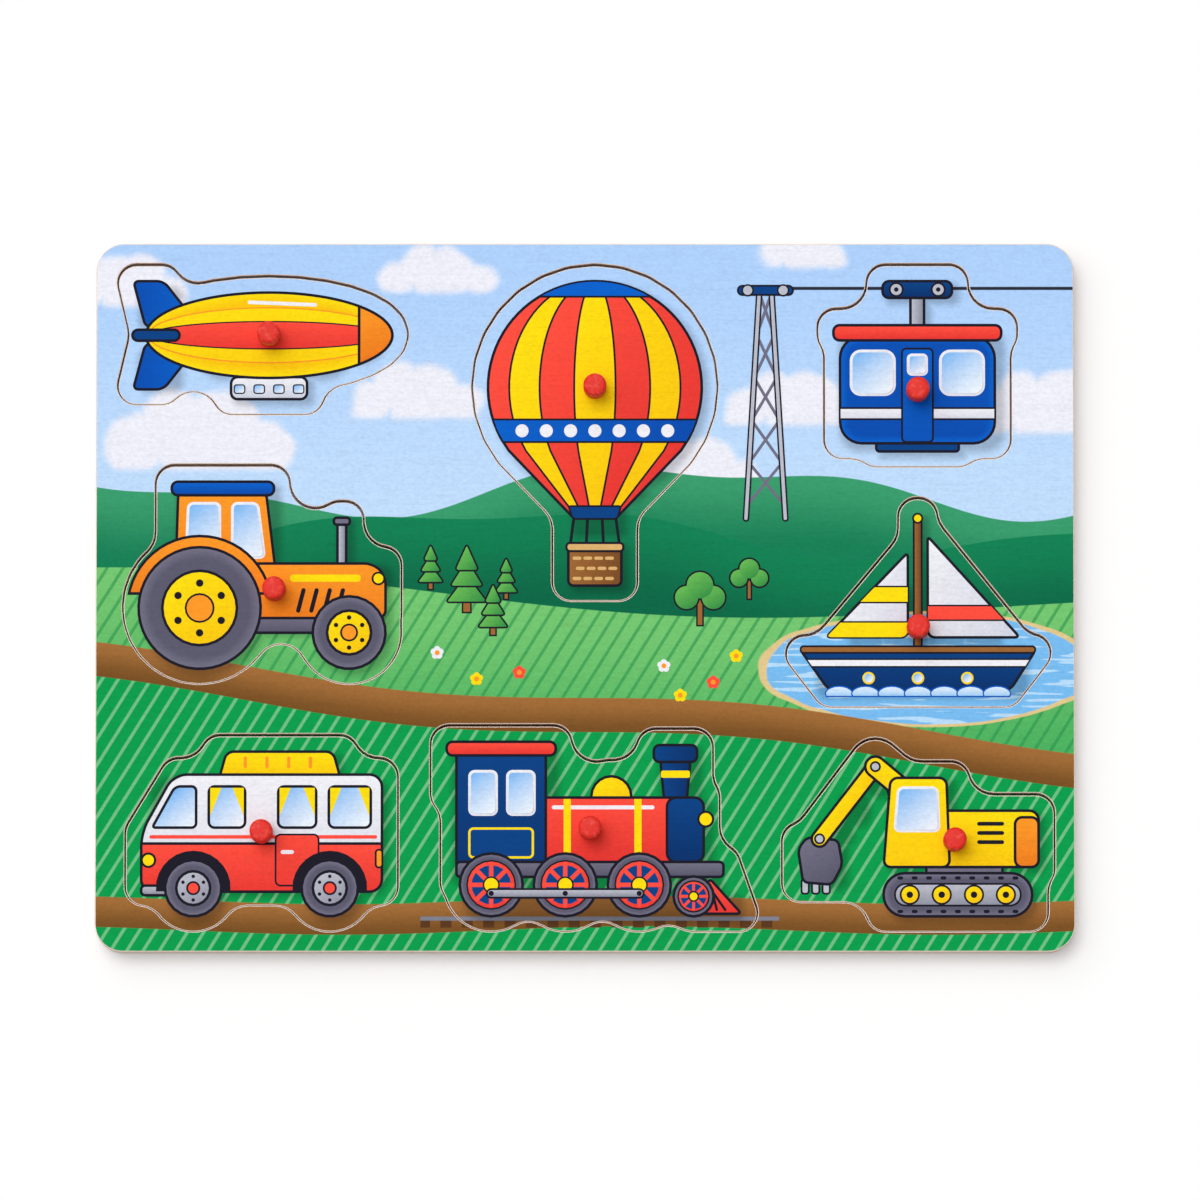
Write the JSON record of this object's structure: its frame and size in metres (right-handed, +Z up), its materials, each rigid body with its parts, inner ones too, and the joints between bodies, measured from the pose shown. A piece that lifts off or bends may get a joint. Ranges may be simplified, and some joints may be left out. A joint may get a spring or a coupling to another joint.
{
  "type": "peg puzzle",
  "caption": "Flat wooden peg puzzle: printed board with saw-cut vehicle pieces lying flush in wells, each lifted straight out by a red dowel peg, closed below by a backing board.",
  "frame": {"origin": "middle of the underside of the backing board", "axes": "+X along the long side of the board, +Y towards the edge that is the top of the picture, +Z up out of the printed face"},
  "size_m": [0.298, 0.2162, 0.0195],
  "materials": {
    "printed_sheet": "pale plywood with a satin colour print on its face and bare saw-cut edges",
    "backing": "bare thin plywood",
    "red_peg": "red paint on a turned dowel, satin"
  },
  "bodies": {
    "board": {"frame_board": "printed_sheet", "backing_board": "backing"},
    "airship": {"airship_piece": "printed_sheet", "airship_peg": "red_peg"},
    "tractor": {"tractor_piece": "printed_sheet", "tractor_peg": "red_peg"},
    "camper": {"camper_piece": "printed_sheet", "camper_peg": "red_peg"},
    "balloon": {"balloon_piece": "printed_sheet", "balloon_peg": "red_peg"},
    "locomotive": {"locomotive_piece": "printed_sheet", "locomotive_peg": "red_peg"},
    "gondola": {"gondola_piece": "printed_sheet", "gondola_peg": "red_peg"},
    "sailboat": {"sailboat_piece": "printed_sheet", "sailboat_peg": "red_peg"},
    "excavator": {"excavator_piece": "printed_sheet", "excavator_peg": "red_peg"}
  },
  "joints": [
    {"name": "lift_airship", "type": "slide", "parent": "board", "child": "airship", "axis": [0, 0, 1], "range_m": [0, 0.035]},
    {"name": "lift_tractor", "type": "slide", "parent": "board", "child": "tractor", "axis": [0, 0, 1], "range_m": [0, 0.035]},
    {"name": "lift_camper", "type": "slide", "parent": "board", "child": "camper", "axis": [0, 0, 1], "range_m": [0, 0.035]},
    {"name": "lift_balloon", "type": "slide", "parent": "board", "child": "balloon", "axis": [0, 0, 1], "range_m": [0, 0.035]},
    {"name": "lift_locomotive", "type": "slide", "parent": "board", "child": "locomotive", "axis": [0, 0, 1], "range_m": [0, 0.035]},
    {"name": "lift_gondola", "type": "slide", "parent": "board", "child": "gondola", "axis": [0, 0, 1], "range_m": [0, 0.035]},
    {"name": "lift_sailboat", "type": "slide", "parent": "board", "child": "sailboat", "axis": [0, 0, 1], "range_m": [0, 0.035]},
    {"name": "lift_excavator", "type": "slide", "parent": "board", "child": "excavator", "axis": [0, 0, 1], "range_m": [0, 0.035]}
  ]
}
